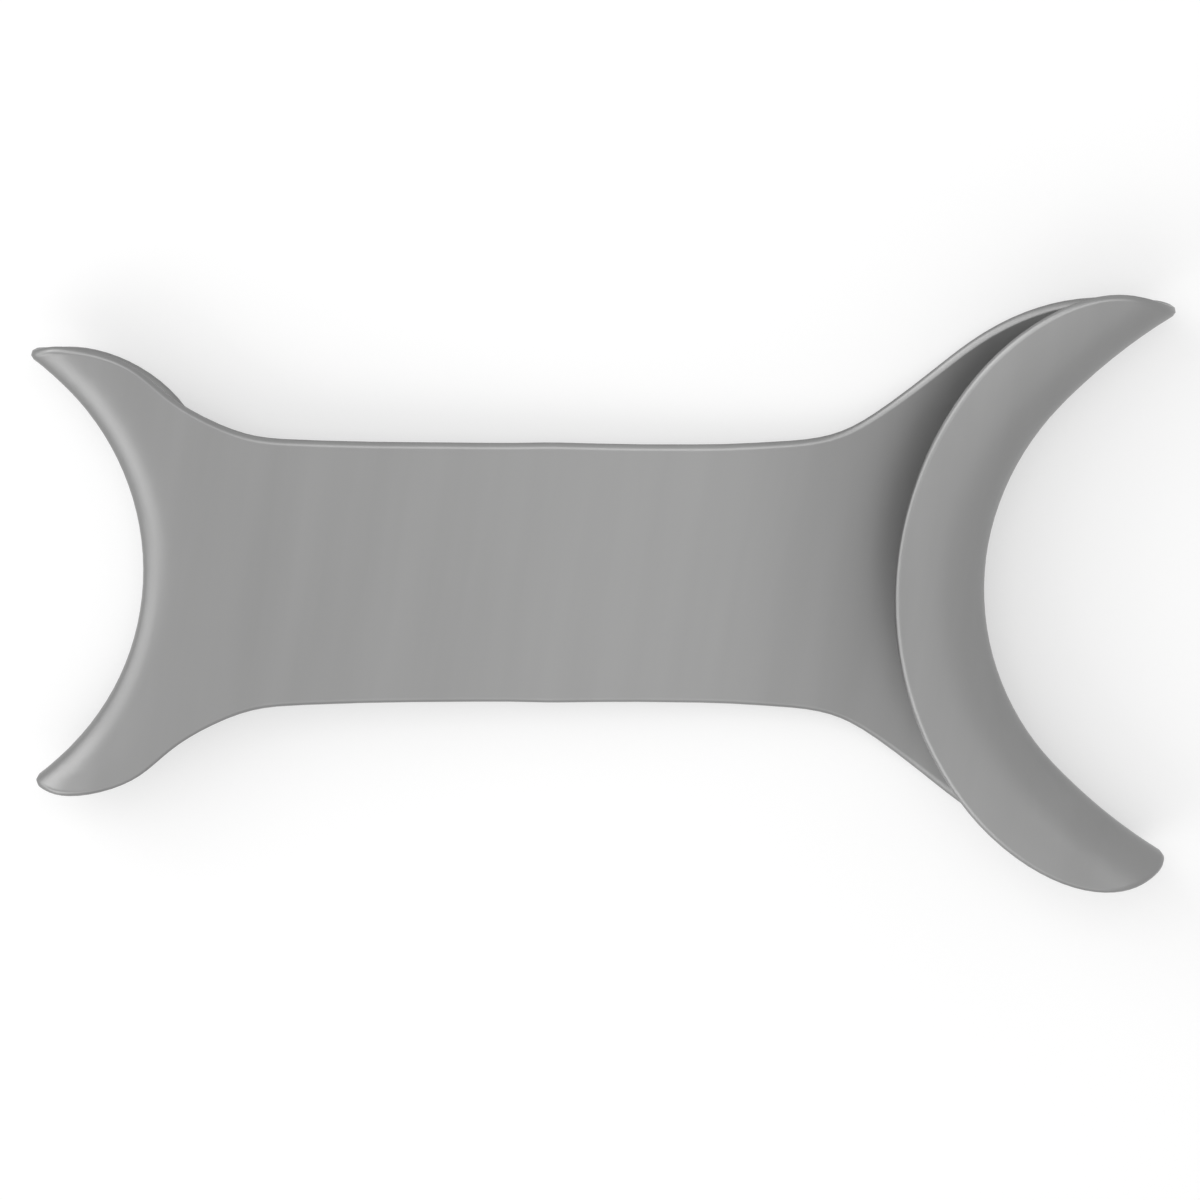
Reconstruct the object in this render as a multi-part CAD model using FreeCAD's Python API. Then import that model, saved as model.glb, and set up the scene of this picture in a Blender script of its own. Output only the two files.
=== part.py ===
import FreeCAD, Part
import math
import os

# Double-ended cheek retractor: one formed and trimmed sheet of stainless steel.
# Lengths in millimetres, angles in degrees.
# While it is shaped the handle lies along x, the large hook at +x, z towards the front.

# Sheet
sheet_thickness = 1.2

# Large hook, lip turned to the front
large_bend_radius = 4.7
large_lip_depth = 10.7
large_vertex_x = 36.95
large_crescent_radius = 27.55
large_crescent_angle = 42.4
large_horn_radius = 55.0
large_horn_reach = 35.15
large_nose_start = 23.5
large_leg_width = 10.0
large_leg_taper = 0.40
large_lip_nose_start = 16.4
large_lip_nose_power = 2.5

# Small hook, lip turned to the back
small_soft_bend_radius = 6.0
small_soft_bend_angle = 35.0
small_tight_bend_radius = 1.43
small_back_bend_radius = 3.6
small_lip_depth = 9.03
small_vertex_x = -46.0
small_crescent_radius = 27.3
small_crescent_angle = 46.5
small_horn_radius = 37.0
small_horn_reach = 25.45
small_nose_start = 15.0
small_leg_width = 7.75
small_leg_taper = 0.22
small_lip_nose_start = 12.0
small_lip_nose_power = 1.45

# Handle: its waist, how each flare dies away from the root of a horn, and its shallow wave in z
# A flare is listed as (distance from the root, share of the root's extra half width)
waist_half_width = 12.72
small_flare = [(1.25, 0.83), (4.25, 0.48), (7.25, 0.235), (10.25, 0.126), (14.25, 0.067), (19.25, 0.035)]
large_flare = [(5.2, 0.774), (9.2, 0.533), (13.2, 0.305), (17.2, 0.13), (21.2, 0.051), (25.2, 0.02)]
rise_at_small_hook = 0.3
rise_at_large_hook = 0.87
wave_low_x = -15.0
wave_mid_x = 4.0
wave_end_x = 20.0

# Where straight ribs across the handle turn into the curved ribs of a hook
rib_blend_start = 2.0
large_blend_gap = 10.0
small_blend_gap = 8.5

# Fineness of the formed surface and of its rim
across_steps = 14
bend_step = 22.5
handle_step = 9.0
waist_steps = 20
leg_nose_steps = 5
lip_nose_steps = 6
lip_edge_shares = (0.33, 0.66)
leg_nose_power = 2.0
spare = 3.0
spare_across = 6.5
spare_steps = 2
rim_flats = 4
rim_step = 2.5
rim_turn = 9.0
rim_samples = 3000
small_move = 0.001
halvings = 40
developing_rounds = 60
developing_gain = 0.7
join_gap = 0.001
foot_mesh = 0.05
foot_rounds = 6


class Hook:
    """Plan of one hook: parallel crescents around the line on which the sheet turns."""

    def __init__(self, side, vertex_x, crescent_radius, crescent_angle, horn_radius, blend_gap):
        self.side = side
        self.vertex_x = vertex_x
        self.blend_end = abs(vertex_x) - blend_gap
        self.radius = crescent_radius
        self.angle = math.radians(crescent_angle)
        self.horn_radius = horn_radius

    def point(self, distance, along):
        """Point at a plan distance from the turning line, at a length along that line."""
        reach = abs(along)
        turn = min(reach / self.radius, self.angle)
        forward = self.radius * (1.0 - math.cos(turn))
        sideways = self.radius * math.sin(turn)
        straighter = (reach - self.radius * turn) / self.horn_radius
        forward += self.horn_radius * (math.cos(turn) - math.cos(turn + straighter))
        sideways += self.horn_radius * (math.sin(turn + straighter) - math.sin(turn))
        turn += straighter
        forward -= distance * math.cos(turn)
        sideways += distance * math.sin(turn)
        return self.vertex_x + self.side * forward, math.copysign(sideways, along)


large = Hook(1.0, large_vertex_x, large_crescent_radius, large_crescent_angle, large_horn_radius,
             large_blend_gap)
small = Hook(-1.0, small_vertex_x, small_crescent_radius, small_crescent_angle, small_horn_radius,
             small_blend_gap)


def smooth(t):
    """Ease from 0 to 1."""
    t = min(max(t, 0.0), 1.0)
    return t * t * t * (10.0 - 15.0 * t + 6.0 * t * t)


def rib(x, along):
    """Plan point on the rib that crosses the centre line at x."""
    hook = large if x > 0.0 else small
    share = smooth((abs(x) - rib_blend_start) / (hook.blend_end - rib_blend_start))
    curved = hook.point(abs(hook.vertex_x) - abs(x), along)
    return x + share * (curved[0] - x), along + share * (curved[1] - along)


def turn_profile():
    """Side profile of the sheet's middle layer as a list of edges, small lip to large lip."""
    vec = FreeCAD.Vector
    edges = []

    def bend(start, heading, radius, sweep):
        side = math.copysign(radius, sweep)
        centre = start + vec(-math.sin(heading), 0, math.cos(heading)) * side

        def at(angle):
            return centre + vec(math.sin(angle), 0, -math.cos(angle)) * side
        edges.append(Part.Arc(start, at(heading + sweep / 2.0), at(heading + sweep)).toShape())
        return at(heading + sweep), heading + sweep

    quarter = math.pi / 2.0
    soft = math.radians(small_soft_bend_angle)
    bend_start = vec(small_vertex_x + small_back_bend_radius, 0, -small_back_bend_radius)
    flat = small_lip_depth + spare - small_back_bend_radius * quarter
    edges.append(Part.makeLine(bend_start + vec(flat, 0, 0), bend_start))
    point, heading = bend(bend_start, math.pi, small_back_bend_radius, -quarter)
    point, heading = bend(point, heading, small_tight_bend_radius, soft - quarter)
    point, heading = bend(point, heading, small_soft_bend_radius, -soft)

    low = point.z - rise_at_small_hook
    high = low + rise_at_large_hook
    plate_end = vec(large_vertex_x - large_bend_radius, 0, high)
    wave = Part.BSplineCurve()
    wave.interpolate(
        Points=[point, vec(wave_low_x, 0, low), vec(wave_mid_x, 0, (low + high) / 2.0),
                vec(wave_end_x, 0, high), plate_end],
        InitialTangent=vec(1, 0, 0), FinalTangent=vec(1, 0, 0))
    edges.append(wave.toShape())

    point, heading = bend(plate_end, 0.0, large_bend_radius, math.pi)
    flat = large_lip_depth + spare - large_bend_radius * quarter
    edges.append(Part.makeLine(point, point - vec(flat, 0, 0)))
    return edges


profile = turn_profile()
lengths = [edge.Length for edge in profile]
starts = [sum(lengths[:i]) for i in range(len(lengths))]
small_vertex_s = starts[2]
large_vertex_s = starts[5] + lengths[5] / 2.0


def on_profile(s):
    """Point and direction of the side profile at a developed length."""
    i = 0
    while i < len(profile) - 1 and s > starts[i + 1]:
        i += 1
    at = profile[i].getParameterByLength(min(max(s - starts[i], 0.0), lengths[i]))
    return profile[i].valueAt(at), profile[i].tangentAt(at)


def skin_point(s, along, offset):
    """Point of the formed sheet, offset to the front from its middle layer."""
    centre, direction = on_profile(s)
    x, y = rib(centre.x, along)
    ahead = rib(centre.x + small_move, along)
    beside = rib(centre.x, along + small_move)
    ahead_x, ahead_y = ahead[0] - x, ahead[1] - y
    beside_x, beside_y = beside[0] - x, beside[1] - y
    normal = FreeCAD.Vector(-direction.z * beside_y * small_move, direction.z * beside_x * small_move,
                            direction.x * (ahead_x * beside_y - ahead_y * beside_x))
    return FreeCAD.Vector(x, y, centre.z) + normal.normalize() * offset


def rows():
    """Developed lengths at which the formed surface is pinned down."""
    out = [0.0]
    for i, edge in enumerate(profile):
        pieces = max(spare_steps, math.ceil(lengths[i] / handle_step))
        if edge.Curve.TypeId == "Part::GeomCircle":
            pieces = math.ceil(math.degrees(lengths[i] / edge.Curve.Radius) / bend_step)
        out += [starts[i] + lengths[i] * (k + 1) / pieces for k in range(pieces)]
    return out


def through(points, at, closed=False):
    """Smooth curve through points at given parameters."""
    curve = Part.BSplineCurve()
    curve.interpolate(Points=points, Parameters=at, PeriodicFlag=closed)
    return curve


def skin(offset):
    """Formed surface, wider than the sheet all round; its parameters are the developed lengths."""
    lengthwise = rows()
    across_reach = max(small_horn_reach, large_horn_reach) + spare_across
    across = [across_reach * (2.0 * k / across_steps - 1.0) for k in range(across_steps + 1)]
    ribs = [through([skin_point(s, along, offset) for along in across], across) for s in lengthwise]
    rib_poles = [rib_curve.getPoles() for rib_curve in ribs]
    lines = [through([poles[k] for poles in rib_poles], lengthwise) for k in range(len(rib_poles[0]))]
    poles = [[line.getPole(i + 1) for line in lines] for i in range(lines[0].NbPoles)]
    surface = Part.BSplineSurface()
    surface.buildFromPolesMultsKnots(
        poles, lines[0].getMultiplicities(), ribs[0].getMultiplicities(),
        lines[0].getKnots(), ribs[0].getKnots(), False, False, lines[0].Degree, ribs[0].Degree)
    return surface


def handle_length_at(x):
    """Developed length at which the handle reaches x."""
    low, high = starts[4], starts[5]
    for _ in range(halvings):
        middle = (low + high) / 2.0
        if on_profile(middle)[0].x < x:
            low = middle
        else:
            high = middle
    return low


def developed(x, y):
    """Developed position of a plan point of the handle."""
    at, along = x, y
    for _ in range(developing_rounds):
        plan = rib(at, along)
        at += x - plan[0]
        along += (y - plan[1]) * developing_gain
    return handle_length_at(at), along


def nose(start, reach, width, taper, power, steps):
    """Half of a horn's rounded end: (length along the horn, width), from its root to its tip."""
    points = []
    for k in range(steps + 1):
        turn = math.pi / 2.0 * k / steps
        along = start + (reach - start) * math.sin(turn) ** (2.0 / power)
        wide = (width - taper * (along - start)) * math.cos(turn) ** (2.0 / power)
        points.append((along, wide))
    return points


def waist(small_root, large_root):
    """Half of the handle's edge in developed lengths, between the roots of two horns."""
    places = [(root.x + way * gap, waist_half_width + (root.y - waist_half_width) * share)
              for root, way, flare in ((small_root, 1.0, small_flare), (large_root, -1.0, large_flare))
              for gap, share in [(0.0, 1.0)] + flare]
    places.append(((small_root.x + large_root.x) / 2.0, waist_half_width))
    places.sort()
    plan = through([FreeCAD.Vector(x, wide, 0) for x, wide in places], [x for x, _ in places])
    first, last = plan.FirstParameter, plan.LastParameter
    at = [first + (last - first) * k / waist_steps for k in range(1, waist_steps)]
    return [developed(x, plan.value(x).y) for x in at]


def blank_outline():
    """Edge of the flat blank as one closed curve in developed lengths."""
    small_edge = small_vertex_s - small_lip_depth
    large_edge = large_vertex_s + large_lip_depth
    half = [(small_edge, small_lip_nose_start * share) for share in lip_edge_shares]
    lip = nose(small_lip_nose_start, small_horn_reach, small_lip_depth, 0.0, small_lip_nose_power,
               lip_nose_steps)
    half += [(small_vertex_s - wide, along) for along, wide in lip]
    small_leg = nose(small_nose_start, small_horn_reach, small_leg_width, small_leg_taper,
                     leg_nose_power, leg_nose_steps)
    half += [(small_vertex_s + wide, along) for along, wide in reversed(small_leg[:-1])]
    large_leg = nose(large_nose_start, large_horn_reach, large_leg_width, large_leg_taper,
                     leg_nose_power, leg_nose_steps)
    half += waist(skin_point(small_vertex_s + small_leg_width, small_nose_start, 0.0),
                  skin_point(large_vertex_s - large_leg_width, large_nose_start, 0.0))
    half += [(large_vertex_s - wide, along) for along, wide in large_leg]
    lip = nose(large_lip_nose_start, large_horn_reach, large_lip_depth, 0.0, large_lip_nose_power,
               lip_nose_steps)
    half += [(large_vertex_s + wide, along) for along, wide in reversed(lip[:-1])]
    half += [(large_edge, large_lip_nose_start * share) for share in reversed(lip_edge_shares)]
    ring = [(small_edge, 0.0)] + half + [(large_edge, 0.0)] + [(s, -along) for s, along in reversed(half)]
    outline = Part.Geom2d.BSplineCurve2d()
    outline.interpolate(Points=[FreeCAD.Base.Vector2d(s, along) for s, along in ring], PeriodicFlag=True)
    return outline


def rim_frame(front, back, outline, at):
    """Front point, back point and outward reach of the rim at one parameter of the outline."""
    spot = outline.value(at)
    direction = outline.tangent(at)
    top, bottom = front.value(spot.x, spot.y), back.value(spot.x, spot.y)
    ahead = front.value(spot.x + direction.x * small_move, spot.y + direction.y * small_move)
    outward = (top - bottom).cross(ahead - top).normalize() * ((top - bottom).Length * 0.5)
    return top, bottom, outward


def rim_stations(front, back, outline):
    """Parameters of the outline, closer together where the rim turns."""
    first, last = outline.FirstParameter, outline.LastParameter
    fine = [first + (last - first) * k / rim_samples for k in range(rim_samples)] + [first]
    frames = [rim_frame(front, back, outline, at) for at in fine]
    fine[-1] = last
    need = [0.0]
    for old, new in zip(frames, frames[1:]):
        step = (new[0] - old[0]).Length / rim_step
        turned = (new[2] - old[2]).Length + ((new[0] - new[1]) - (old[0] - old[1])).Length * 0.5
        step += math.degrees(turned / (sheet_thickness / 2.0)) / rim_turn
        need.append(need[-1] + step)
    count = 2 * math.ceil(need[-1] / 2.0)
    stations = []
    k = 0
    for i in range(count):
        while need[k + 1] < need[-1] * i / count:
            k += 1
        share = (need[-1] * i / count - need[k]) / (need[k + 1] - need[k])
        stations.append(fine[k] + (fine[k + 1] - fine[k]) * share)
    return stations + [last]


def rounded_rim(front, back, outline):
    """Half-round edge that joins the two skins all along the outline, as strips from front to back."""
    at = rim_stations(front, back, outline)
    seams = [[] for _ in range(rim_flats + 1)]
    for station in at[:-1]:
        top, bottom, outward = rim_frame(front, back, outline, station)
        middle = (top + bottom) * 0.5
        for k, seam in enumerate(seams):
            turn = math.pi * k / rim_flats
            seam.append(middle + (top - middle) * math.cos(turn) + outward * math.sin(turn))
    lines = [through(seam, at, True) for seam in seams]
    strips = []
    for near, far in zip(lines, lines[1:]):
        strip = Part.BSplineSurface()
        strip.buildFromPolesMultsKnots(
            [list(pair) for pair in zip(near.getPoles(), far.getPoles())],
            near.getMultiplicities(), [2, 2], near.getKnots(), [0.0, 1.0], True, False, near.Degree, 1)
        strips.append(strip)
    return strips


def formed_sheet():
    """The whole retractor: front skin, back skin and the strips of the half-round rim."""
    front, back = skin(sheet_thickness / 2.0), skin(-sheet_thickness / 2.0)
    outline = blank_outline()
    first, last = outline.FirstParameter, outline.LastParameter
    halves = [(first, (first + last) / 2.0), ((first + last) / 2.0, last)]
    faces = []
    for side in (front, back):
        faces.append(Part.Face(side, Part.Wire([outline.toShape(side, *half) for half in halves])))
    for strip in rounded_rim(front, back, outline):
        for half in halves:
            side = strip.copy()
            side.segment(*half, 0.0, 1.0)
            faces.append(side.toShape())
    joined = faces[0].generalFuse(faces[1:], join_gap)[0].Faces
    joined[1].reverse()
    return Part.Solid(Part.Shell(joined))


def level(body):
    """Turn the body about y until the feet of both hooks are level; low points lie at z = 0."""
    points = body.tessellate(foot_mesh)[0]
    slope = 0.0
    for _ in range(foot_rounds):
        up = FreeCAD.Vector(-math.sin(slope), 0, math.cos(slope))
        small_foot = min((p for p in points if p.x < 0.0), key=up.dot)
        large_foot = min((p for p in points if p.x > 0.0), key=up.dot)
        slope = math.atan2(large_foot.z - small_foot.z, large_foot.x - small_foot.x)
    lengthwise = FreeCAD.Vector(math.cos(slope), 0, math.sin(slope))
    middle = (min(map(lengthwise.dot, points)) + max(map(lengthwise.dot, points))) / 2.0
    up = FreeCAD.Vector(-math.sin(slope), 0, math.cos(slope))
    placed = body.rotated(FreeCAD.Vector(0, 0, 0), FreeCAD.Vector(0, 1, 0), math.degrees(slope))
    return placed.translated(FreeCAD.Vector(-middle, 0, -up.dot(small_foot)))


os.makedirs("parts", exist_ok=True)
level(formed_sheet()).exportStep("parts/retractor_body.step")
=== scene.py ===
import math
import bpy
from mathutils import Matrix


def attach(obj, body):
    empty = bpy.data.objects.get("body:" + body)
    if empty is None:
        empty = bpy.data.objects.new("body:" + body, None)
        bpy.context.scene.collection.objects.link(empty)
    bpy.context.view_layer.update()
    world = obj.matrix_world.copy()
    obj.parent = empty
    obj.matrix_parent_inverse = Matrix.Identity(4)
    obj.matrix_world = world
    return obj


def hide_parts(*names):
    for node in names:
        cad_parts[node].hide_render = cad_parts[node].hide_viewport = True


bl_info = {
    "name": "Sheet Steel Cheek Retractor",
    "version": (1, 0, 0),
    "blender": (4, 5, 0),
    "location": "3D View > Sidebar > Retractor",
    "description": "Finishes the packed cheek retractor and sets its stage, light and camera",
    "category": "Object",
}

import bmesh
import bpy
from mathutils import Matrix, Vector

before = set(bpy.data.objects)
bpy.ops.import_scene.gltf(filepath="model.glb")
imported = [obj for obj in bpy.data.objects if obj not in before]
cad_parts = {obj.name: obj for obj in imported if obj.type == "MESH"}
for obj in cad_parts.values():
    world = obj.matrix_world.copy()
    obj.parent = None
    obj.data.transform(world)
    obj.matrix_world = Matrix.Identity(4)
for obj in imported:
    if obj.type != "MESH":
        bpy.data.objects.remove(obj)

BODY_NODE = "retractor_body"
# Width of the picture in pixels, width of the camera's sensor in millimetres and nearest
# distance that the camera sees in metres
PICTURE_WIDTH = 1200.0
SENSOR_WIDTH = 36.0
NEAR_CLIP = 0.01
WHITE = (1.0, 1.0, 1.0, 1.0)
# Sockets of a Mix node that mixes colours
MIX_FACTOR, MIX_FIRST, MIX_SECOND, MIX_RESULT = 0, 6, 7, 2
# Layers of ever finer noise in the streaks and in the grain
STREAK_DETAIL = 3.0
GRAIN_DETAIL = 2.0
# How far the grain moves the roughness either way
ROUGHNESS_SWING = 0.04
# Front and back, the two widest smooth areas of the sheet
SKIN_COUNT = 2
# Painted shade and light along the handle, darker at the left end and just beside the lip and
# lighter in the middle: (metres along it, share of the steel's colour)
PAINTED_SHADE_TONES = (
    (-0.045, 0.92),
    (-0.030, 0.95),
    (-0.012, 1.0),
    (0.005, 1.07),
    (0.014, 1.02),
    (0.022, 0.89),
    (0.0275, 0.86),
    (0.032, 1.0),
)
# Softboxes: (name, azimuth and elevation in degrees, setting that holds the power)
SOFTBOXES = (
    ("back_softbox", 90.0, 70.0, "back_power"),
    ("front_softbox", 270.0, 50.0, "front_power"),
    ("left_softbox", 180.0, 15.0, "left_power"),
    ("left_back_softbox", 135.0, 35.0, "left_back_power"),
    ("low_back_softbox", 135.0, 15.0, "low_back_power"),
    ("left_front_softbox", 225.0, 30.0, "left_front_power"),
)


class RetractorSteel(bpy.types.PropertyGroup):
    """Finish of the satin steel sheet"""

    colour: bpy.props.FloatVectorProperty(
        name="Steel Colour", description="Reflected colour of the bare steel",
        default=(0.268, 0.268, 0.267), size=3, min=0.0, max=1.0, subtype="COLOR")
    roughness: bpy.props.FloatProperty(
        name="Roughness", description="How far the satin finish spreads a reflection",
        default=0.40, min=0.0, max=1.0, subtype="FACTOR")
    grain_size: bpy.props.FloatProperty(
        name="Grain Size", description="Width of one grain of the blasted surface",
        default=0.00022, min=0.00001, unit="LENGTH")
    grain_depth: bpy.props.FloatProperty(
        name="Grain Depth", description="Height of the grain that catches the light",
        default=0.0000025, min=0.0, precision=6, unit="LENGTH")
    streak_size: bpy.props.FloatProperty(
        name="Streak Size", description="Width of the faint polishing streaks across the handle",
        default=0.0035, min=0.0001, unit="LENGTH")
    streak_length: bpy.props.FloatProperty(
        name="Streak Length", description="Length of a streak in streak widths",
        default=14.0, min=1.0)
    streak_slant: bpy.props.FloatProperty(
        name="Streak Slant", description="Slant of the streaks away from square to the handle",
        default=math.radians(-9.0), subtype="ANGLE")
    streak_share: bpy.props.FloatProperty(
        name="Streak Strength", description="How much the streaks change the colour",
        default=0.06, min=0.0, max=1.0, subtype="FACTOR")
    weld_distance: bpy.props.FloatProperty(
        name="Weld Distance", description="Distance at which loose mesh corners become one",
        default=0.000002, min=0.0, precision=6, unit="LENGTH")
    seam_angle: bpy.props.FloatProperty(
        name="Seam Angle", description="Angle at which two flats of the rim count as apart",
        default=math.radians(20.0), subtype="ANGLE")


class RetractorStage(bpy.types.PropertyGroup):
    """Floor, light and camera around the retractor"""

    floor_colour: bpy.props.FloatVectorProperty(
        name="Floor Colour", description="Colour of the pale floor",
        default=(0.55, 0.55, 0.55), size=3, min=0.0, max=1.0, subtype="COLOR")
    floor_size: bpy.props.FloatProperty(
        name="Floor Size", description="Side of the square floor",
        default=6.0, min=0.5, unit="LENGTH")
    floor_lift: bpy.props.FloatProperty(
        name="Floor Lift", description="White added to the floor where it is seen or mirrored",
        default=0.46, min=0.0, max=1.0, subtype="FACTOR")
    lamp_distance: bpy.props.FloatProperty(
        name="Softbox Distance", description="Distance of every softbox from the retractor",
        default=1.0, min=0.2, unit="LENGTH")
    lamp_size: bpy.props.FloatProperty(
        name="Softbox Size", description="Side of every square softbox",
        default=0.7, min=0.05, unit="LENGTH")
    back_power: bpy.props.FloatProperty(
        name="Back Power", description="Power of the high softbox beyond the handle",
        default=1.9, min=0.0, unit="POWER")
    front_power: bpy.props.FloatProperty(
        name="Front Power", description="Power of the high softbox before the handle",
        default=0.7, min=0.0, unit="POWER")
    left_power: bpy.props.FloatProperty(
        name="Left Power", description="Power of the low softbox on the left",
        default=1.7, min=0.0, unit="POWER")
    left_back_power: bpy.props.FloatProperty(
        name="Left Back Power",
        description="Power of the softbox on the left, beyond the handle",
        default=2.05, min=0.0, unit="POWER")
    low_back_power: bpy.props.FloatProperty(
        name="Low Back Power",
        description="Power of the low softbox on the left, beyond the handle",
        default=1.2, min=0.0, unit="POWER")
    left_front_power: bpy.props.FloatProperty(
        name="Left Front Power",
        description="Power of the softbox on the left, before the handle",
        default=2.25, min=0.0, unit="POWER")
    room_light: bpy.props.FloatProperty(
        name="Room Light", description="Strength of the even light from all around",
        default=0.55, min=0.0)
    camera_lean: bpy.props.FloatProperty(
        name="Camera Lean", description="Lean of the view towards the far side of the handle",
        default=math.radians(13.46), subtype="ANGLE")
    camera_turn: bpy.props.FloatProperty(
        name="Camera Turn", description="Lean of the view along the handle",
        default=math.radians(-1.09), subtype="ANGLE")
    camera_roll: bpy.props.FloatProperty(
        name="Camera Roll", description="Turn of the picture about the line of sight",
        default=math.radians(-0.25), subtype="ANGLE")
    camera_distance: bpy.props.FloatProperty(
        name="Camera Distance", description="Distance from the handle to the camera",
        default=0.8175, min=0.1, unit="LENGTH")
    pixels_per_metre: bpy.props.FloatProperty(
        name="Picture Scale", description="Pixels of the picture for one metre at the handle",
        default=9960.0, min=1.0)
    aim: bpy.props.FloatVectorProperty(
        name="Aim Offset",
        description="Where the view's centre lies, right of and above the handle's middle",
        default=(-0.000703, -0.002744), size=2, unit="LENGTH")
    rest_slope: bpy.props.FloatProperty(
        name="Rest Slope", description="Slope of the handle as the retractor lies on the floor",
        default=math.radians(4.264085), subtype="ANGLE")
    handle_middle: bpy.props.FloatVectorProperty(
        name="Handle Middle",
        description="Middle of the handle as the retractor lies on the floor",
        default=(0.000607, 0.0, 0.003227), size=3, subtype="TRANSLATION", unit="LENGTH")


def node_of(tree, kind, place, **values):
    """A shader node at a place in the editor with its inputs set."""
    node = tree.nodes.new(kind)
    node.location = place
    for key, value in values.items():
        node.inputs[key.replace("_", " ")].default_value = value
    return node


def satin_steel(steel):
    """Satin blasted steel: faint cross streaks, painted shade and light along the handle, fine
    grain.
    """
    material = bpy.data.materials.new("satin_steel")
    material.use_nodes = True
    tree = material.node_tree
    tree.nodes.clear()
    link = tree.links.new
    output = node_of(tree, "ShaderNodeOutputMaterial", (900, 0))
    shader = node_of(tree, "ShaderNodeBsdfPrincipled", (600, 0), Metallic=1.0)
    where = node_of(tree, "ShaderNodeTexCoord", (-900, 0))

    stretch = node_of(tree, "ShaderNodeMapping", (-650, 200),
                      Scale=(1.0, steel.streak_length, 1.0),
                      Rotation=(0.0, 0.0, steel.streak_slant))
    stretch.vector_type = "TEXTURE"
    streaks = node_of(tree, "ShaderNodeTexNoise", (-420, 200),
                      Scale=1.0 / steel.streak_size, Detail=STREAK_DETAIL)
    tint = node_of(tree, "ShaderNodeMix", (-150, 200))
    tint.data_type = "RGBA"
    top_tone = max(tone for _, tone in PAINTED_SHADE_TONES)
    darker = [c * top_tone * (1.0 - steel.streak_share) for c in steel.colour]
    lighter = [c * top_tone * (1.0 + steel.streak_share) for c in steel.colour]
    tint.inputs[MIX_FIRST].default_value = (*darker, 1.0)
    tint.inputs[MIX_SECOND].default_value = (*lighter, 1.0)
    link(where.outputs["Object"], stretch.inputs["Vector"])
    link(stretch.outputs["Vector"], streaks.inputs["Vector"])
    link(streaks.outputs["Fac"], tint.inputs[MIX_FACTOR])

    # Painted shade and light: the steel's colour darkens at the left end of the handle and just
    # beside the lip, and lightens in the middle, by place along the handle
    split = node_of(tree, "ShaderNodeSeparateXYZ", (-650, 450))
    first, last = PAINTED_SHADE_TONES[0][0], PAINTED_SHADE_TONES[-1][0]
    span = node_of(tree, "ShaderNodeMapRange", (-420, 450), From_Min=first, From_Max=last)
    painted_shade = node_of(tree, "ShaderNodeValToRGB", (-150, 450))
    painted_shade.color_ramp.interpolation = "B_SPLINE"
    stops = painted_shade.color_ramp.elements
    while len(stops) < len(PAINTED_SHADE_TONES):
        stops.new(0.5)
    for stop, (along, tone) in zip(stops, PAINTED_SHADE_TONES):
        stop.position = (along - first) / (last - first)
        stop.color = (*[tone / top_tone] * 3, 1.0)
    toned = node_of(tree, "ShaderNodeMix", (150, 300))
    toned.data_type = "RGBA"
    toned.blend_type = "MULTIPLY"
    toned.inputs[MIX_FACTOR].default_value = 1.0
    link(where.outputs["Object"], split.inputs["Vector"])
    link(split.outputs["X"], span.inputs["Value"])
    link(span.outputs["Result"], painted_shade.inputs["Fac"])
    link(tint.outputs[MIX_RESULT], toned.inputs[MIX_FIRST])
    link(painted_shade.outputs["Color"], toned.inputs[MIX_SECOND])
    link(toned.outputs[MIX_RESULT], shader.inputs["Base Color"])

    grain = node_of(tree, "ShaderNodeTexNoise", (-420, -200),
                    Scale=1.0 / steel.grain_size, Detail=GRAIN_DETAIL)
    relief = node_of(tree, "ShaderNodeBump", (-150, -300),
                     Strength=1.0, Distance=steel.grain_depth)
    spread = node_of(tree, "ShaderNodeMapRange", (-150, -50),
                     To_Min=steel.roughness - ROUGHNESS_SWING,
                     To_Max=steel.roughness + ROUGHNESS_SWING)
    link(where.outputs["Object"], grain.inputs["Vector"])
    link(grain.outputs["Fac"], relief.inputs["Height"])
    link(grain.outputs["Fac"], spread.inputs["Value"])
    link(spread.outputs["Result"], shader.inputs["Roughness"])
    link(relief.outputs["Normal"], shader.inputs["Normal"])
    link(shader.outputs["BSDF"], output.inputs["Surface"])
    return material


def smooth_areas(sheet, limit):
    """Areas of faces that meet at less than the limit, widest first."""
    seen, areas = set(), []
    for first in sheet.faces:
        if first in seen:
            continue
        area, waiting = [], [first]
        seen.add(first)
        while waiting:
            face = waiting.pop()
            area.append(face)
            for edge in face.edges:
                if edge.calc_face_angle(math.pi) < limit:
                    fresh = [other for other in edge.link_faces if other not in seen]
                    seen.update(fresh)
                    waiting.extend(fresh)
        areas.append(area)
    return sorted(areas, key=lambda area: sum(face.calc_area() for face in area), reverse=True)


def skin_faces(sheet, limit):
    """Faces that touch none of the flats which stand apart along the rim."""
    flats = smooth_areas(sheet, limit)[SKIN_COUNT:]
    rim_points = {vert for area in flats for face in area for vert in face.verts}
    return {face for face in sheet.faces if rim_points.isdisjoint(face.verts)}


def shading_normals(sheet, skins):
    """Normal at each vertex, from the skins alone where the rounded rim runs into them."""
    normals = []
    for vert in sheet.verts:
        corners = [corner for corner in vert.link_loops if corner.face in skins]
        corners = corners or vert.link_loops
        total = sum((corner.face.normal * corner.calc_angle() for corner in corners), Vector())
        normals.append(total.normalized())
    return normals


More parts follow.
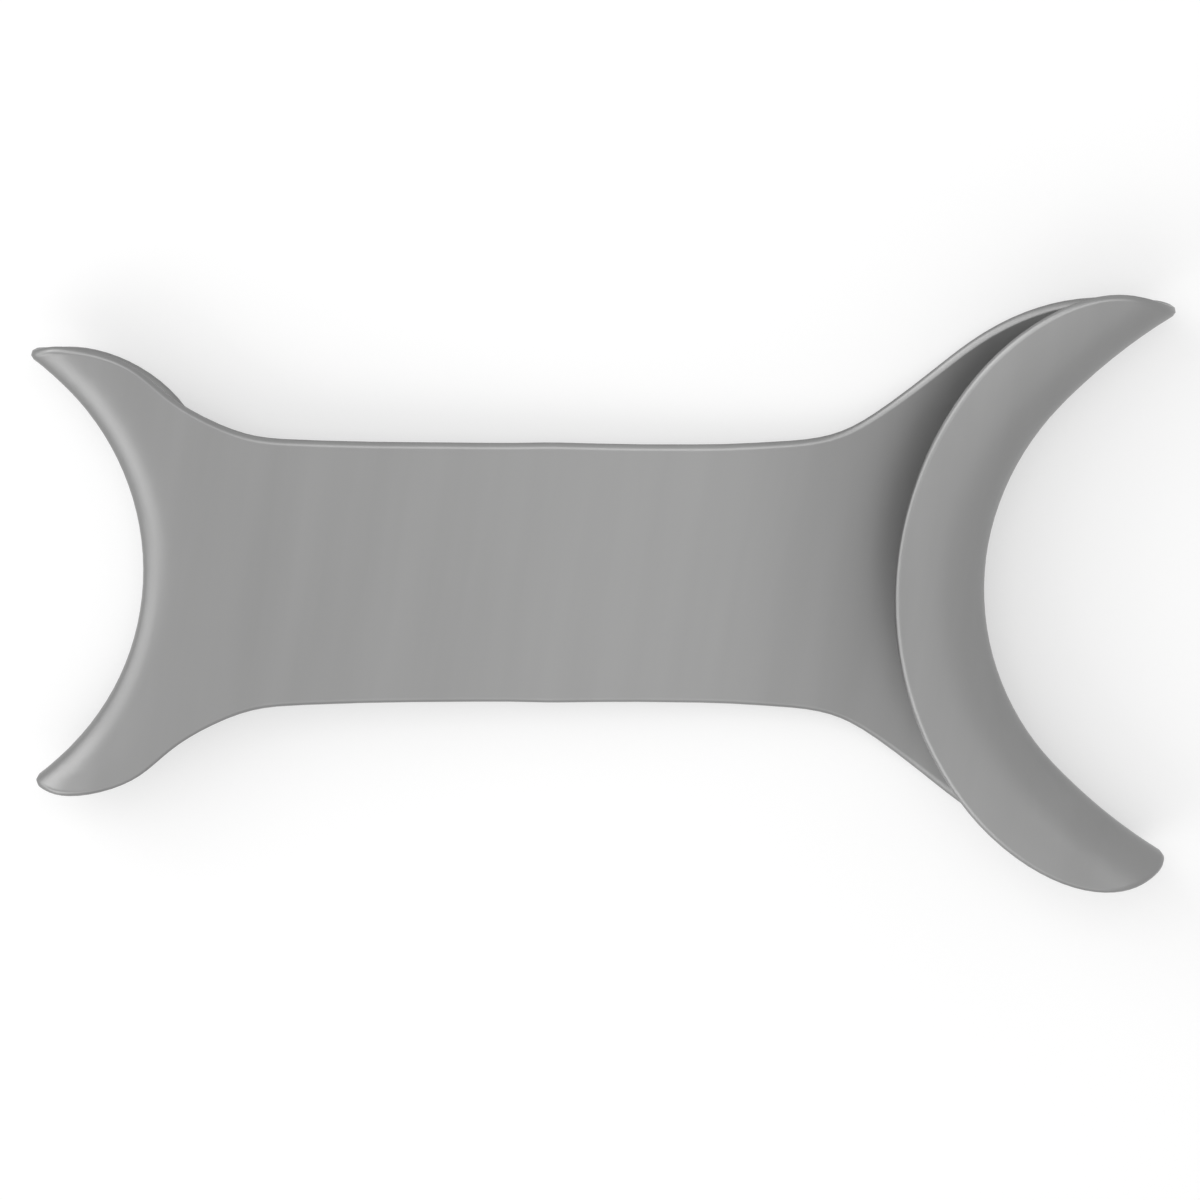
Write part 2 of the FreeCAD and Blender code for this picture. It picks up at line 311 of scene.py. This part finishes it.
class RETRACTOR_OT_body(bpy.types.Operator):
    """Join the formed sheet's triangles, shade its rim round and give it satin steel"""

    bl_idname = "retractor.body"
    bl_label = "Finish Formed Sheet"

    def execute(self, context):
        steel = context.scene.retractor_steel
        sheet = bmesh.new()
        sheet.from_mesh(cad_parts[BODY_NODE].data)
        bmesh.ops.remove_doubles(sheet, verts=sheet.verts[:], dist=steel.weld_distance)
        for face in sheet.faces:
            face.smooth = True
            face.material_index = 0
        normals = shading_normals(sheet, skin_faces(sheet, steel.seam_angle))
        mesh = bpy.data.meshes.new("formed_sheet")
        sheet.to_mesh(mesh)
        sheet.free()
        mesh.normals_split_custom_set_from_vertices(normals)
        mesh.materials.append(satin_steel(steel))
        body = bpy.data.objects.new("formed_sheet", mesh)
        context.scene.collection.objects.link(body)
        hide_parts(BODY_NODE)
        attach(body, "root")
        return {"FINISHED"}


def soft_lamp(stage, name, azimuth, elevation, power):
    """Square softbox on a dome around the retractor, turned towards it."""
    data = bpy.data.lights.new(name, "AREA")
    data.shape = "SQUARE"
    data.size = stage.lamp_size
    data.energy = power
    lamp = bpy.data.objects.new(name, data)
    turn, rise = math.radians(azimuth), math.radians(elevation)
    outward = Vector((math.cos(rise) * math.cos(turn), math.cos(rise) * math.sin(turn),
                      math.sin(rise)))
    lamp.location = outward * stage.lamp_distance
    lamp.rotation_euler = outward.to_track_quat("Z", "Y").to_euler()
    bpy.context.scene.collection.objects.link(lamp)


def seen_or_mirrored(tree, place):
    """Output that is 1 for camera, glossy and transmission rays, and 0 for all others."""
    path = node_of(tree, "ShaderNodeLightPath", place)
    value = path.outputs["Is Camera Ray"]
    for ray in ("Is Glossy Ray", "Is Transmission Ray"):
        either = tree.nodes.new("ShaderNodeMath")
        either.operation = "MAXIMUM"
        tree.links.new(value, either.inputs[0])
        tree.links.new(path.outputs[ray], either.inputs[1])
        value = either.outputs["Value"]
    return value


def make_floor(stage):
    """Pale floor that keeps the retractor's soft shadow."""
    bpy.ops.mesh.primitive_plane_add(size=stage.floor_size)
    floor = bpy.context.object
    floor.name = "floor"
    material = bpy.data.materials.new("pale_floor")
    material.use_nodes = True
    tree = material.node_tree
    tree.nodes.clear()
    output = node_of(tree, "ShaderNodeOutputMaterial", (600, 0))
    matt = node_of(tree, "ShaderNodeBsdfDiffuse", (0, 100), Color=(*stage.floor_colour, 1.0))
    lift = node_of(tree, "ShaderNodeEmission", (0, -100), Color=WHITE)
    both = node_of(tree, "ShaderNodeAddShader", (300, 0))
    share = node_of(tree, "ShaderNodeMath", (-200, -100))
    share.operation = "MULTIPLY"
    share.inputs[1].default_value = stage.floor_lift
    tree.links.new(seen_or_mirrored(tree, (-600, -100)), share.inputs[0])
    tree.links.new(share.outputs["Value"], lift.inputs["Strength"])
    tree.links.new(matt.outputs["BSDF"], both.inputs[0])
    tree.links.new(lift.outputs["Emission"], both.inputs[1])
    tree.links.new(both.outputs["Shader"], output.inputs["Surface"])
    floor.data.materials.append(material)


def make_room(stage):
    """Even light from all around, white to the camera and in whatever mirrors or passes it."""
    world = bpy.data.worlds.new("even_room")
    bpy.context.scene.world = world
    world.use_nodes = True
    tree = world.node_tree
    tree.nodes.clear()
    output = node_of(tree, "ShaderNodeOutputWorld", (400, 0))
    lit = node_of(tree, "ShaderNodeBackground", (0, 100), Color=WHITE, Strength=stage.room_light)
    seen = node_of(tree, "ShaderNodeBackground", (0, -100), Color=WHITE, Strength=1.0)
    pick = node_of(tree, "ShaderNodeMixShader", (200, 0))
    tree.links.new(seen_or_mirrored(tree, (-600, 300)), pick.inputs[0])
    tree.links.new(lit.outputs["Background"], pick.inputs[1])
    tree.links.new(seen.outputs["Background"], pick.inputs[2])
    tree.links.new(pick.outputs["Shader"], output.inputs["Surface"])


def make_camera(stage):
    """Camera at the photograph's viewing angle, looking down on the handle."""
    lean, turn, roll = stage.camera_lean, stage.camera_turn, stage.camera_roll
    back = Vector((math.sin(turn) * math.cos(lean), math.sin(lean),
                   math.cos(turn) * math.cos(lean)))
    across = Vector((0.0, 1.0, 0.0))
    up = (across - back * across.dot(back)).normalized()
    right = up.cross(back)
    picture_right = right * math.cos(roll) - up * math.sin(roll)
    picture_up = right * math.sin(roll) + up * math.cos(roll)
    place = back * stage.camera_distance + picture_right * stage.aim[0] + picture_up * stage.aim[1]
    turned = Matrix.Rotation(stage.rest_slope, 4, "Y")
    stand = Matrix.Translation(stage.handle_middle) @ turned
    axes = Matrix((picture_right, picture_up, back)).transposed().to_4x4()
    data = bpy.data.cameras.new("camera")
    data.sensor_width = SENSOR_WIDTH
    data.lens = stage.pixels_per_metre * stage.camera_distance * SENSOR_WIDTH / PICTURE_WIDTH
    data.clip_start = NEAR_CLIP
    camera = bpy.data.objects.new("camera", data)
    camera.matrix_world = stand @ Matrix.Translation(place) @ axes
    bpy.context.scene.collection.objects.link(camera)
    bpy.context.scene.camera = camera


class RETRACTOR_OT_stage(bpy.types.Operator):
    """Set the pale floor, the soft studio light and the camera"""

    bl_idname = "retractor.stage"
    bl_label = "Set Stage"

    def execute(self, context):
        stage = context.scene.retractor_stage
        make_floor(stage)
        make_room(stage)
        for name, azimuth, elevation, power in SOFTBOXES:
            soft_lamp(stage, name, azimuth, elevation, getattr(stage, power))
        make_camera(stage)
        context.scene.view_settings.view_transform = "Standard"
        return {"FINISHED"}


class RETRACTOR_PT_panel(bpy.types.Panel):
    """Sizes and colours of the retractor's finish and stage"""

    bl_idname = "RETRACTOR_PT_panel"
    bl_label = "Retractor"
    bl_space_type = "VIEW_3D"
    bl_region_type = "UI"
    bl_category = "Retractor"

    def draw(self, context):
        for settings, button in ((context.scene.retractor_steel, RETRACTOR_OT_body.bl_idname),
                                 (context.scene.retractor_stage, RETRACTOR_OT_stage.bl_idname)):
            for name in settings.bl_rna.properties.keys():
                if name not in ("rna_type", "name"):
                    self.layout.prop(settings, name)
            self.layout.operator(button)


CLASSES = (RetractorSteel, RetractorStage, RETRACTOR_OT_body, RETRACTOR_OT_stage,
           RETRACTOR_PT_panel)


def register():
    """Register the classes and keep their settings on the scene."""
    for kind in CLASSES:
        bpy.utils.register_class(kind)
    bpy.types.Scene.retractor_steel = bpy.props.PointerProperty(type=RetractorSteel)
    bpy.types.Scene.retractor_stage = bpy.props.PointerProperty(type=RetractorStage)


def unregister():
    """Take the settings off the scene and the classes out again."""
    del bpy.types.Scene.retractor_stage
    del bpy.types.Scene.retractor_steel
    for kind in reversed(CLASSES):
        bpy.utils.unregister_class(kind)


def main():
    """Build everything in order."""
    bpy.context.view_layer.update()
    register()
    bpy.ops.retractor.body()
    bpy.ops.retractor.stage()
    bpy.context.view_layer.update()


if __name__ == "__main__":
    main()
